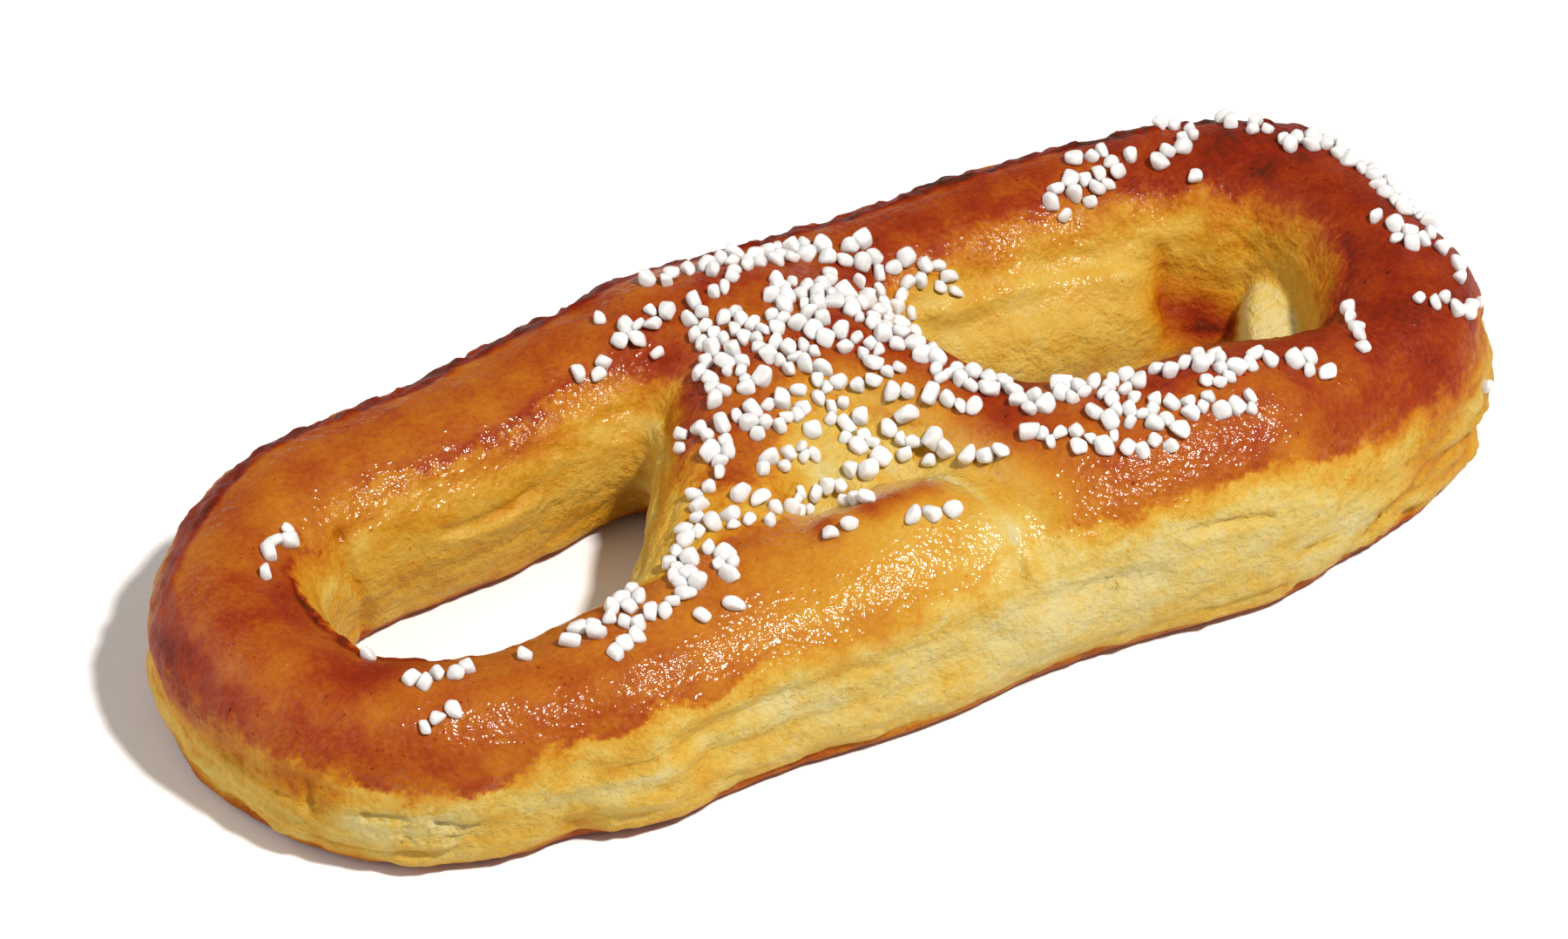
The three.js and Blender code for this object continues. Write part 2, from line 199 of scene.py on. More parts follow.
# How browned the glazed top is, from 0, raw, to 1, burnt, round places in plan: x, y, tone.
CRUST_TONES = (
    (-82, 0, 0.69),
    (-72, -18, 0.67),
    (-50, -25, 0.61),
    (-27, -26, 0.54),
    (-12, -27, 0.36),
    (4, -30, 0.25),
    (10, -25, 0.26),
    (-2, -19, 0.33),
    (0, -7, 0.10),
    (10, -12, 0.22),
    (12, 4, 0.78),
    (19, -8, 0.84),
    (24, -22, 0.66),
    (42, -24, 0.74),
    (60, -23, 0.76),
    (76, -15, 0.80),
    (81, 0, 0.82),
    (77, 14, 0.83),
    (64, 25, 0.78),
    (45, 28, 0.72),
    (25, 28, 0.74),
    (4, 28, 0.68),
    (-4, 14, 0.70),
    (-11, 2, 0.70),
    (-19, -11, 0.68),
    (-20, 27, 0.66),
    (-41, 24, 0.64),
    (-62, 21, 0.62),
    (-76, 12, 0.64),
)
TONE_REACH = 7.5

# Small places on the glazed top that are browner or paler: x, y, reach, change of tone. The last three are
# a painted sheen that lightens the right front strand's front shoulder.
TOP_TONE_AND_SHEEN_SPOTS = (
    (-10.5, -22.5, 2.4, 0.32),
    (-4.5, -23, 2.2, 0.34),
    (-0.8, -22.8, 2.2, 0.34),
    (3, -22.6, 2.2, 0.34),
    (16.5, -11, 4.0, 0.14),
    (17.5, -16.5, 4.0, 0.20),
    (-3, -5, 5.0, -0.06),
    (9, -16, 3.0, -0.10),
    (10.5, -31, 3.0, -0.12),
    (-73, -17, 6.0, 0.04),
    (-14, 18, 4.0, 0.10),
    (-66, 14, 5.0, -0.06),
    (36, -33, 6.0, -0.14),
    (48, -34, 6.0, -0.17),
    (60, -32, 6.0, -0.06),
)
DARKEST_RIM = 0.885

# The seam's crease in space, which is pressed in and pale.
SEAM_CREASE = (
    (1.9, -13.4, 20.9),
    (5.4, -15.7, 21.7),
    (7.9, -21.7, 23.9),
    (9.3, -26.3, 24.1),
    (11.2, -32.1, 22.4),
    (10.4, -35, 20.7),
    (10.3, -36.8, 18.5),
)
SEAM_PALENESS = 0.38
SEAM_PALE_WIDTH = 0.8

# The glossy ridge along the ledge in the right-hand hole.
LEDGE_RIDGE = ((27, 15.8, 15.8), (33, 15.4, 15.8), (41.4, 14.7, 15.4), (48.5, 13.1, 15), (53, 11.8, 14.2))
LEDGE_GLOSS_WIDTH = 2.6

# Folds pressed into the crust, or ridges where the depth is negative: depth, half width, lip below the
# fold, and the points that they run through.
FOLDS = (
    (0.8, 0.6, 0.25, ((-48.3, 9.4, 14.2), (-42.4, 9.6, 13.5), (-38.5, 10, 13.4), (-34.9, 10.8, 14.2))),
    (0.9, 0.6, 0.35, ((32.8, -38.6, 19), (36.8, -39.1, 18.8), (40.5, -39.4, 18.4), (43.9, -39.7, 17.7))),
    (1.9, 4.0, 0.0, ((-34, -38.5, 9.5), (-20, -38.5, 10), (-6, -39.5, 11), (6, -39, 12))),
    (1.1, 2.2, 0.0, ((-38.1, -38.7, 14), (-24.4, -37.9, 14.6), (-8.7, -38.9, 15.7), (2.9, -38.4, 16.5))),
    (1.0, 2.0, 0.0, ((10, -38.3, 15.8), (17.7, -38.2, 14.9), (28.2, -39.3, 13.6))),
    (1.0, 1.0, 0.0, ((58.1, 12.8, 15.9), (57.9, 11.6, 13.9), (57.4, 9.9, 11), (56.5, 7.5, 6))),
    (1.1, 1.0, 0.0, ((-62.3, 10.3, 19.2), (-62.3, 8.3, 16.8), (-62.1, 7.2, 14.5), (-60.3, 8.1, 2.4))),
    (1.2, 0.7, 0.0, SEAM_CREASE),
    (-0.7, 2.2, 0.0, ((-9.8, -21.5, 23.1), (-4.8, -22.6, 23.7), (3.3, -22.4, 24.1))),
    (-1.4, 1.9, 0.0, LEDGE_RIDGE),
    (0.7, 0.6, 0.2, ((-82.4, -22.5, 13), (-82.5, -23.2, 9.1))),
    (0.8, 0.5, 0.3, ((-77.5, -28.2, 10.6), (-73.4, -31, 10.4))),
    (0.8, 0.5, 0.3, ((-70, -33, 9.4), (-65.2, -34.5, 8.3))),
    (0.6, 0.5, 0.2, ((-73.5, -31, 7.4), (-65.6, -34.4, 7.1))),
)

# Lumps and hollows of the dough: x, y, z, reach, height.
BUMPS = (
    (65.5, 8.5, 14, 3.2, 0.9),
    (60.5, 7.5, 7.5, 4, -0.8),
    (-9, -24, 23.5, 5.5, 0.8),
    (-3, -24.5, 24.5, 6.5, 1.0),
    (4, -24.5, 24.5, 6, 0.9),
)

# Pearl sugar: patches seen from above, as a line from x, y to x, y, a spread and a number of grains.
SUGAR_PATCHES = (
    (-10.5, 28.5, -1, 29, 1, 9),
    (-1, 26.5, 0.5, 23.5, 0.9, 6),
    (2, 27, 9, 26.5, 2.6, 24),
    (10.5, 27.5, 17, 24, 2.2, 18),
    (18.5, 25.5, 20.5, 25, 0.9, 3),
    (12.3, 20.3, 9.5, 17.2, 0.7, 3),
    (-6, 22.3, -2, 22.3, 0.7, 6),
    (-16.3, 22.3, -10.3, 23.2, 1.3, 8),
    (-24, 20, -19.5, 20.5, 1.2, 6),
    (-17.7, 27, -13.8, 18.2, 0.3, 2),
    (-7.5, 19.5, -7, 14.5, 1.8, 14),
    (-4.5, 17.5, -1.5, 11, 2.2, 23),
    (4, 18.5, 7.5, 14, 2.2, 20),
    (2, 15, 3.5, 11, 1.7, 12),
    (-10, 12, -11.8, 4, 1, 9),
    (-7.3, 11, -7, 4.5, 1.6, 14),
    (-3, 9.5, 2, 3.5, 2.4, 30),
    (4.5, 9.5, 8, 1.5, 1.9, 23),
    (11.5, 14, 12, 3, 2.2, 28),
    (16.5, 19.5, 17, 12, 2, 16),
    (19.5, 22, 21, 15, 1.4, 10),
    (13.5, 1, 15, -3, 1.6, 12),
    (15.5, -5.5, 18.5, -10, 1.8, 18),
    (20, -10, 22, -18, 1.3, 15),
    (23, 20.5, 28.5, 18, 1.8, 14),
    (-17.5, 2.5, -10, -0.5, 1.5, 12),
    (-15.5, -2.5, -17.2, -6, 1.4, 10),
    (-10.5, -2.8, -2.6, -1.4, 1, 10),
    (-6.3, 0, 3, 0.8, 1.2, 15),
    (1, -1.5, 10.5, -2, 0.6, 7),
    (-4.7, -4, 4.2, -4, 1, 6),
    (-0.5, -7, 8, -8.8, 1, 10),
    (8.4, -5.3, 16.4, -13.5, 0.8, 8),
    (-12.4, -8, -4, -6.8, 1.1, 10),
    (-13.5, -14.8, -8, -11.4, 1, 12),
    (-6, -11.6, 7, -11.3, 1, 22),
    (-5, -17, -3.8, -21, 0.5, 3),
    (8.5, -13, 14.5, -21.7, 1, 7),
    (-10.6, -24, -7.7, -24, 0.4, 2),
    (-2.3, -26.6, 6.4, -27.6, 0.4, 3),
    (-31.5, -28.3, -23, -27.7, 0.3, 2),
    (-20, -7.5, -23.5, -11.5, 1, 6),
    (-17.3, -11.4, -15.2, -13.5, 0.8, 3),
    (-26, -13.5, -17.3, -16.5, 1.7, 13),
    (-24, -19, -25, -22.8, 1.3, 8),
    (-28.3, -17.5, -30, -23.5, 1.8, 11),
    (-45.6, -24, -36, -20.5, 1.5, 13),
    (-39, -25, -31.2, -24.8, 1, 9),
    (-42.4, -28.3, -38.5, -27.3, 0.9, 5),
    (-52.7, -22.6, -52.5, -22.6, 0.2, 1),
    (-67.5, -21, -59.6, -21.8, 1.1, 8),
    (-70, -26.8, -64.4, -27, 0.4, 3),
    (-69.7, -12.6, -69.5, -12.6, 0.2, 1),
    (-77.5, 3.8, -68.5, 11.5, 1, 5),
    (20, -21.5, 26.5, -28.5, 1.4, 20),
    (26, -17, 34, -20, 2, 19),
    (28, -23, 36, -28, 2.4, 24),
    (28, -30.3, 34, -31, 0.8, 7),
    (38.7, -21, 45, -21.5, 1.8, 14),
    (43, -25, 51, -25, 1.5, 16),
    (37.5, -28, 46, -30, 1.2, 14),
    (54.5, -24.5, 58, -28.5, 1.2, 8),
    (68.2, -16, 65.2, -25.5, 0.6, 5),
    (75.6, -21.3, 81.3, -22.3, 1, 7),
    (83, -22.3, 86, -20, 0.8, 4),
    (83, -27.7, 83.2, -27.9, 0.1, 1),
    (79.7, -5.5, 82, -12, 1.8, 10),
    (83.5, 15.5, 85.5, 6.5, 1.5, 13),
    (85.2, 4, 85.6, -6.5, 1.5, 15),
    (84.8, -9.5, 85, -17, 1.3, 10),
    (78.3, 15.7, 82, 13.3, 1.1, 6),
    (75, 25, 77.5, 20, 1.4, 12),
    (61.5, 21, 69.5, 24.3, 1.1, 9),
    (66, 29.5, 69, 27.5, 0.5, 3),
    (65.3, 17, 65.4, 17, 0.1, 1),
    (46.5, 21.3, 58.5, 23.5, 2.2, 18),
    (53, 27.2, 57.3, 26.5, 0.7, 4),
)

# Grains: the smallest and the largest in mm, then spacing, width, thickness and lift as shares of a size.
GRAIN_SMALL = 1.9
GRAIN_LARGE = 3.0
GRAIN_GAP = 0.72
GRAIN_NARROW = 0.76
GRAIN_THIN = 0.62
GRAIN_VARIATION = 0.2
GRAIN_LIFT = 0.2
DROP_HEIGHT = 60.0

# Repeatable draws of the grains' sizes and places.
PLACING_ATTEMPTS = 30
SEED = 20711
DRAW_FACTOR = 48271
DRAW_MODULUS = 2147483647

# Shapes of worn grains, for a grain of about one unit.
GRAIN_KINDS = 12
GRAIN_DETAIL = 4
GRAIN_BLANK = 1.35
BLOCK_SKEW = 0.3
SIDE_REACH = (0.37, 0.48)
GRAIN_CHIPS = 9
CHIP_REACH = (0.41, 0.50)
GRAIN_SMOOTHINGS = 2

# Strands of the bridge, and where it takes over from the ring, in mm between their surfaces.
BRIDGE_STRANDS = ("over", "under", "hub")
BRIDGE_TAKEOVER = (-2.0, 4.0)

# Soft changes of the crust, from start to end, in mm above the glaze's edge. A rim reaches from its first
# value to its second, and the changes at its ends are counted from there.
OUTER_RIM = (-1.8, 7.4)
INNER_RIM = (-1.0, 2.0)
RIM_START = (-1.2, 1.2)
RIM_END = (-1.0, 0.8)
MATT_SHOULDER = (8.0, 13.0)
WASH_EDGE = (-3.0, 0.5)
DRIP_REACH = (-12.0, -3.0)
GLAZED = (-1.5, 1.0)
WALL_TOP = (-5.0, -0.5)

# Soft changes in mm above the floor, in mm from the nub, as a share of facing down, and in noise.
WALL_BOTTOM = (0.5, 3.0)
SWELL_RISE = (1.0, 9.0)
NUB_FADE = (0.2, 1.1)
UNDERSIDE = (0.38, 0.6)
RESTING = (0.6, 0.95)
FRINGE_PATCH_EDGE = (-0.35, 0.35)
DRIP_EDGE = (-0.8, 0.2)

# How strongly the marks act on tones and gloss, the painted shade of the underside and the creases among
# them, and how high in mm the browning of the foot reaches.
FRINGE_LEAST = 0.25
FRINGE_MOST = 1.25
RIM_BROWNING = 0.27
FOOT_EVENNESS = 0.75
FOOT_BROWNING = 0.27
FOOT_BROWN_HEIGHT = 1.1
FOOT_GILDING = 0.14
FOOT_GOLD_HEIGHT = 4.5
# The underside darkens partly as baked bottom and partly as painted shade; creases as painted shade.
UNDERSIDE_BROWNING_AND_SHADE = 0.34
CREASE_SHADE = 0.08
WALL_CREASE_SHADE = 0.12
MATTING = 0.75

# Tone of a golden wall, and how far streaks and the creases' painted shade follow a wall's tone as a share
# of it.
GOLDEN_WALL = 0.2
STREAK_LIMITS = (0.25, 1.2)
CREASE_LIMITS = (0.15, 1)

# Relief of the skin, in mm. A fold's lip lies so many half widths away from it, and is so many wide.
CREASE_DEPTH = 0.8
FOLD_SHADE = 0.9
FRINGE_RISE = 0.1
FRINGE_LINE = 0.6
FRINGE_WIDTH = 2.2
RIM_RISE = 0.15
FOOT_CRUST_HEIGHT = 1.8
LIP_OFFSET = 2.0
LIP_WIDTH = 1.2

# How rough a wall is, what is added up to a rough wall's tone, and how much calmer the holes' walls are.
WALL_ROUGHNESS = 0.8
GOLDEN_ROUGHNESS = 0.9
ROUGH_WALL = 0.25
INNER_CALM = 0.6
INNER_CREASE_CALM = 0.7

# Lines along the walls: strength, width in the noise that they follow, its size in mm, and seed. They grow
# with the wall's tone, within limits.
WALL_LINES = ((1.0, 0.26, (17.0, 17.0, 4.6), 21), (0.6, 0.22, (10.0, 10.0, 2.8), 22))
LINE_BASE = 0.02
LINE_WALL = 0.24
LINE_LIMITS = (0.2, 1.2)

# Layers of noise: amount, size in mm, one for all axes or one for each, and seed.
EDGE_WAVES = ((1.5, 10.0, 11), (0.8, 3.6, 12))
FRINGE_PATCHES = ((1.0, 7.0, 13),)
TOP_STREAKS = ((0.05, (16.0, 5.0, 8.0), 14),)
RIM_SPECKLE = ((0.16, 2.4, 15),)
RIM_KNOBS = ((1.1, 2.4, 25),)
WALL_STREAKS = ((0.10, (8.0, 8.0, 1.7), 18), (0.08, (3.5, 3.5, 1.2), 19))
FOOT_CRUMBS = ((0.6, 3.0, 20),)
DRIP_PATCHES = ((1.0, 4.0, 24),)
SWELLS = ((0.4, 15.0, 1),)
DIMPLES = ((0.24, 7.0, 2),)
WALL_PLEATS = ((0.28, (9.0, 9.0, 2.4), 3), (0.2, (4.0, 4.0, 1.7), 4))
WALL_CRUMB = ((0.18, 1.5, 10), (0.12, 3.0, 23))
GLAZE_RIPPLES = ((0.09, 2.6, 5), (0.06, 1.6, 9))
FRINGE_CRUST = ((0.3, 1.9, 6),)
RIM_BLISTERS = ((0.36, 2.2, 16), (0.4, 1.4, 17))
FOOT_CRUST = ((0.36, 3.2, 7), (0.26, 1.8, 8))

# Numbers that shuffle the cells of the noise.
NOISE_PRIMES = (73856093, 19349663, 83492791)
NOISE_SHIFTS = (13, 16)
NOISE_MIXER = 1274126177
NOISE_MASK = 0x7FFFFFFF
NOISE_LEVELS = 0xFFFF
SEED_SHIFT = 17.31

# Colours of baking, from pale dough to burnt crust, and of the sugar: place on the ramp, then colour.
BAKED_COLORS = (
    (0.00, (0.57, 0.465, 0.200)),
    (0.08, (0.57, 0.415, 0.115)),
    (0.16, (0.56, 0.350, 0.055)),
    (0.32, (0.515, 0.243, 0.0155)),
    (0.48, (0.44, 0.146, 0.0042)),
    (0.64, (0.335, 0.070, 0.0015)),
    (0.74, (0.265, 0.028, 0.0008)),
    (0.84, (0.185, 0.0115, 0.0005)),
    (0.93, (0.065, 0.010, 0.0008)),
    (1.00, (0.026, 0.006, 0.0010)),
)
SUGAR_COLORS = ((0.3, (0.66, 0.655, 0.64)), (0.6, (0.77, 0.765, 0.755)))

# Fine drawing of the crust's colours. Noise is a size in mm, a detail and a roughness. Edges and the red
# band are in mm above the glaze's edge, only that of the pores is in noise, and the rest are tones.
FRAY_NOISE = (3.2, 6.0, 0.68)
FRAY_REACH = 7.0
SOFT_EDGE = (-5.0, 2.6)
KEEN_EDGE = (-1.0, 0.9)
GOLDEN_EDGE = (-8.0, 0.5)
BAND_START = (-1.2, 0.4)
BAND_END = 0.6
BAND_WIDTH = 0.9
BAND_FRINGE_WIDTH = 1.8
EDGE_TONE = 0.72
GILDING = 0.04
GOLDEN_GILDING = 1.1
MOTTLE_NOISE = (6.0, 5.0, 0.62)
MOTTLE_TONE = 0.42
SPECKLE_NOISE = (0.8, 3.0, 0.6)
SPECKLE_TONE = 0.19
PORE_NOISE = (0.7, 1.0, 0.55)
PORE_EDGE = (0.70, 0.80)
PORE_TONE = 0.22

# Gloss and fine bumps. The egg wash shines less where the top is darker. Bumps are a strength and a
# height in metres, and the shaders' own lengths are in metres too.
WASH_FADE = (0.45, 0.88)
WASH_SHINE = (1.0, 0.04)
WASH_NOISE = (0.8, 1.0, 0.5)
CRUMB_NOISE = (1.1, 3.0, 0.6)
CRUMB_STRENGTH = 2.2
CRUST_BUMP = (0.85, 0.00034)
CRUST_SHADER = {
    "Roughness": 0.55,
    "Specular IOR Level": 0.12,
    "Coat Roughness": 0.12,
    "Coat IOR": 1.4,
    "Subsurface Weight": 0.12,
    "Subsurface Radius": (1.0, 0.45, 0.15),
    "Subsurface Scale": 0.0015,
}
SUGAR_CLOUD_NOISE = (1.6, 3.0, 0.55)
SUGAR_GRIT_NOISE = (0.35, 2.0, 0.55)
SUGAR_BUMP = (0.5, 0.0001)
SUGAR_SHADER = {
    "Roughness": 0.5,
    "Subsurface Weight": 0.6,
    "Subsurface Radius": (1.0, 0.97, 0.92),
    "Subsurface Scale": 0.0011,
}

# Guards against dividing by nothing or by little, and how many places are compared with a strand at once.
LEAST_LEAN = 0.35
LEAST_RADIUS = 1e-6
LEAST_SLOPE = 1e-4
LEAST_SQUARE_SLOPE = 0.1
LEAST_LENGTH = 1e-9
LEAST_WEIGHT = 1e-6
BATCH = 4096


# Strands and the dough's field

def spline(stations, closed=False):
    """Catmull-Rom samples through the stations, with all their columns."""
    points = np.array(stations, float)
    if closed:
        padded = np.vstack([points[-1:], points, points[:2]])
    else:
        padded = np.vstack([2 * points[:1] - points[1:2], points, 2 * points[-1:] - points[-2:-1]])
    a, b, c, d = (padded[i : len(padded) - 3 + i, None] for i in range(4))
    t = (np.arange(SAMPLES_PER_STATION) / SAMPLES_PER_STATION)[None, :, None]
    bends = (2 * b) + (c - a) * t + (2 * a - 5 * b + 4 * c - d) * t**2 + (3 * b - a - 3 * c + d) * t**3
    samples = 0.5 * bends.reshape(-1, points.shape[1])
    return samples if closed else np.vstack([samples, points[-1:]])


def strand(stations, closed=False):
    """A strand's samples, and how they change from one to the next."""
    samples = spline(stations, closed)
    if closed:
        steps = (np.roll(samples, -1, 0) - np.roll(samples, 1, 0)) / 2
    else:
        steps = np.gradient(samples, axis=0)
    return samples, steps


def nearest(made, x, y):
    """The strand's row nearest to each place, the plan distance, and the side: 1 is left of its run."""
    samples, steps = made
    widths = samples[:, 2] if samples.shape[1] > 2 else np.ones(len(samples))
    index = np.empty(len(x), int)
    for start in range(0, len(x), BATCH):
        part = slice(start, start + BATCH)
        across = (x[part, None] - samples[:, 0]) ** 2 + (y[part, None] - samples[:, 1]) ** 2
        index[part] = np.argmin(across / widths**2, axis=1)
    row, step = samples[index], steps[index]
    share = (x - row[:, 0]) * step[:, 0] + (y - row[:, 1]) * step[:, 1]
    share = np.clip(share / (step[:, 0] ** 2 + step[:, 1] ** 2), -0.5, 0.5)
    row = row + share[:, None] * step
    ahead = step[:, 0] * (y - row[:, 1]) - step[:, 1] * (x - row[:, 0])
    return row, np.hypot(x - row[:, 0], y - row[:, 1]), np.sign(ahead)


STRANDS = {
    "ring": strand([shape + crust for shape, crust in zip(RING, CRUST)], True),
    "over": strand(OVER),
    "under": strand(UNDER),
    "hub": strand(HUB),
    "ledge": strand(LEDGE),
    "nub": strand(NUB),
    "corner": strand(CORNER),
    "seam": strand(SEAM),
}


def plan(x, y):
    """Each strand's nearest row, distance and side for places in plan."""
    return {name: nearest(made, x, y) for name, made in STRANDS.items()}


def section_field(found, z, power=SECTION_POWER):
    """Signed distance, about, to a strand's section: negative inside. z has a row for each place."""
    row, away, _ = found
    half_width, height = row[:, 2:3], row[:, 3:4]
    belly = BELLY_SHARE * height
    reach = np.where(z > belly, height - belly, belly * TUCK)
    across = away[:, None] / half_width
    along = np.abs(z - belly) / reach
    radius = np.maximum((across**power + along**power) ** (1 / power), LEAST_RADIUS)
    slope_across = (across / radius) ** (power - 1) / half_width
    slope_along = (along / radius) ** (power - 1) / reach
    return (radius - 1) / np.maximum(np.hypot(slope_across, slope_along), LEAST_SLOPE)


def blended(a, b, radius):
    """Union of two fields with a soft join."""
    share = np.clip(0.5 + 0.5 * (b - a) / radius, 0, 1)
    return b * (1 - share) + a * share - radius * share * (1 - share)


def dent_depth(found, x, y, z):
    """Depth by which the seam and the pocket press the crust in."""
    seam_dent = SEAM_DEPTH * np.exp(-((found["seam"][1] / SEAM_WIDTH) ** 2))
    pocket_x = (x - POCKET_CENTRE[0]) / POCKET_HALF_SIZE[0]
    pocket_y = (y - POCKET_CENTRE[1]) / POCKET_HALF_SIZE[1]
    pocket_dent = POCKET_DEPTH * np.exp(-(pocket_x**2 + pocket_y**2))
    return (seam_dent + pocket_dent)[:, None] * np.clip((z - DENT_FLOOR) / DENT_FADE, 0, 1)


def dough_field(x, y, z):
    """The dough's field at places in plan and a row of levels for each."""
    found = plan(x, y)
    sides = section_field(found["ring"], z)
    sides = blended(sides, section_field(found["ledge"], z), LEDGE_BLEND)
    sides = blended(sides, section_field(found["corner"], z), CORNER_BLEND)
    sides = blended(sides, section_field(found["nub"], z, NUB_POWER), NUB_BLEND)
    bridge = blended(section_field(found["over"], z), section_field(found["under"], z), CROSSING_BLEND)
    bridge = blended(bridge, section_field(found["hub"], z), HUB_BLEND)
    whole = blended(sides, bridge, BRIDGE_BLEND) + dent_depth(found, x, y, z)
    return -blended(-whole, z, FOOT_BLEND)


def field_and_slope(points):
    """The field at single points, and its gradient."""
    def at(dx=0.0, dy=0.0, dz=0.0):
        return dough_field(points[:, 0] + dx, points[:, 1] + dy, points[:, 2:3] + dz)[:, 0]

    slopes = [at(**{axis: PROBE}) - at(**{axis: -PROBE}) for axis in ("dx", "dy", "dz")]
    return at(), np.stack(slopes, 1) / (2 * PROBE)


def unit(vectors):
    return vectors / np.maximum(np.linalg.norm(vectors, axis=1, keepdims=True), LEAST_LENGTH)


# Surface net of the dough

def net_axes():
    return [np.arange(low, high + NET_STEP, NET_STEP) for low, high in zip(NET_LOW, NET_HIGH)]


def surface_net(values, axes):
    """Vertices and quads where the values change sign: a vertex in each crossed cell."""
    shape = np.array(values.shape)
    sums = np.zeros((*(shape - 1), 3))
    counts = np.zeros(shape - 1)
    for axis in range(3):
        others = [a for a in range(3) if a != axis]
        here = np.take(values, range(shape[axis] - 1), axis)
        there = np.take(values, range(1, shape[axis]), axis)
        crossed = (here < 0) != (there < 0)
        share = np.where(crossed, here / np.where(crossed, here - there, 1), 0)
        for first in (0, 1):
            for second in (0, 1):
                cut = [slice(None)] * 3
                cut[others[0]] = slice(first, shape[others[0]] - 1 + first)
                cut[others[1]] = slice(second, shape[others[1]] - 1 + second)
                met = crossed[tuple(cut)]
                sums[..., axis] += share[tuple(cut)]
                sums[..., others[0]] += first * met
                sums[..., others[1]] += second * met
                counts += met
    active = counts > 0
    numbers = np.full(active.shape, -1)
    numbers[active] = np.arange(active.sum())
    inside_cell = sums[active] / counts[active][:, None]
    vertices = np.array([axis[0] for axis in axes]) + (np.argwhere(active) + inside_cell) * NET_STEP
    return vertices, net_quads(values < 0, numbers)


def net_quads(inside, numbers):
    """A quad of cells round each edge of the grid that the surface crosses, facing out."""
    quads = []
    for axis in range(3):
        second, third = (axis + 1) % 3, (axis + 2) % 3
        low = [slice(1, -1)] * 3
        high = [slice(1, -1)] * 3
        low[axis] = slice(0, -1)
        high[axis] = slice(1, None)
        here, there = inside[tuple(low)], inside[tuple(high)]
        for leaving in (True, False):
            edges = np.argwhere((here & ~there) if leaving else (~here & there))
            edges += [0 if a == axis else 1 for a in range(3)]
            round_edge = np.zeros((4, 3), int)
            round_edge[1:3, second] = -1
            round_edge[2:4, third] = -1
            quad = np.stack([numbers[tuple((edges + cell).T)] for cell in round_edge], 1)
            quads.append(quad if leaving else quad[:, ::-1])
    return np.vstack(quads)


def dough_net():
    """The smooth dough: vertices on the exact surface, their normals, and quads."""
    axes = net_axes()
    x, y = (grid.ravel() for grid in np.meshgrid(axes[0], axes[1], indexing="ij"))
    values = dough_field(x, y, axes[2][None, :])
    vertices, quads = surface_net(values.reshape([len(axis) for axis in axes]), axes)
    for _ in range(SETTLING_STEPS):
        value, slope = field_and_slope(vertices)
        vertices -= slope * (value / np.maximum((slope**2).sum(1), LEAST_SQUARE_SLOPE))[:, None]
    return vertices, unit(field_and_slope(vertices)[1]), quads


# Relief

def noise(points, size, seed):
    """Smooth noise from -1 to 1 with bumps of about the given size, one number or one for each axis."""
    scaled = points / np.asarray(size, float) + seed * SEED_SHIFT
    cell = np.floor(scaled).astype(np.int64)
    share = scaled - cell
    share = share**3 * (share * (share * 6 - 15) + 10)
    total = np.zeros(len(points))
    for corner in np.ndindex(2, 2, 2):
        x_key, y_key, z_key = ((cell + corner) * NOISE_PRIMES).T
        key = x_key ^ y_key ^ z_key
        key = (key ^ (key >> NOISE_SHIFTS[0])) * NOISE_MIXER & NOISE_MASK
        value = 2 * ((key ^ (key >> NOISE_SHIFTS[1])) & NOISE_LEVELS) / NOISE_LEVELS - 1
        weight = np.prod(np.where(corner, share, 1 - share), axis=1)
        total += weight * value
    return total


def layered(points, layers):
    """Sum of layers of noise."""
    return sum(amount * noise(points, size, seed) for amount, size, seed in layers)


def smooth_share(value, low, high):
    share = np.clip((value - low) / (high - low), 0, 1)
    return share * share * (3 - 2 * share)


def soft_spot(points, centre, reach):
    """A soft round spot, 1 at its centre, which is given in plan or in space."""
    away = ((points[:, : len(centre)] - centre) ** 2).sum(1)
    return np.exp(-away / reach**2)


def soft_spots(points, spots):
    """Sum of soft spots, each a centre, a reach and a change."""
    return sum(change * soft_spot(points, centre, reach) for *centre, reach, change in spots)


def path_distance(points, path):
    """Distance from points to a line through a path's points, and how far above the line each lies."""
    nearest_square = np.full(len(points), np.inf)
    above = np.zeros(len(points))
    path = np.array(path, float)
    for start, end in zip(path[:-1], path[1:]):
        run = end - start
        share = np.clip((points - start) @ run / (run @ run), 0, 1)
        away = points - start - share[:, None] * run
        square = (away**2).sum(1)
        closer = square < nearest_square
        nearest_square[closer] = square[closer]
        above[closer] = away[closer, 2]
    return np.sqrt(nearest_square), above


def soft_line(points, path, width):
    """A soft line along a path, 1 in its middle."""
    away, _ = path_distance(points, path)
    return np.exp(-((away / width) ** 2))


def fold_relief(points):
    """Height that the folds add: each is pressed in, with a lip below it."""
    height = np.zeros(len(points))
    for depth, width, lip, path in FOLDS:
        away, above = path_distance(points, path)
        height -= depth * np.exp(-((away / width) ** 2))
        lip_away = (away - LIP_OFFSET * width) / (LIP_WIDTH * width)
        height += lip * np.exp(-(lip_away**2)) * (above < 0)
    return height


def wall_creases(points, wall):
    """Lines along the walls where the dough was folded on itself, 0 away from them."""
    lines = np.zeros(len(points))
    for strength, width, size, seed in WALL_LINES:
        lines += strength * np.exp(-((noise(points, size, seed) / width) ** 2))
    return lines * np.clip((wall + LINE_BASE) / LINE_WALL, *LINE_LIMITS)


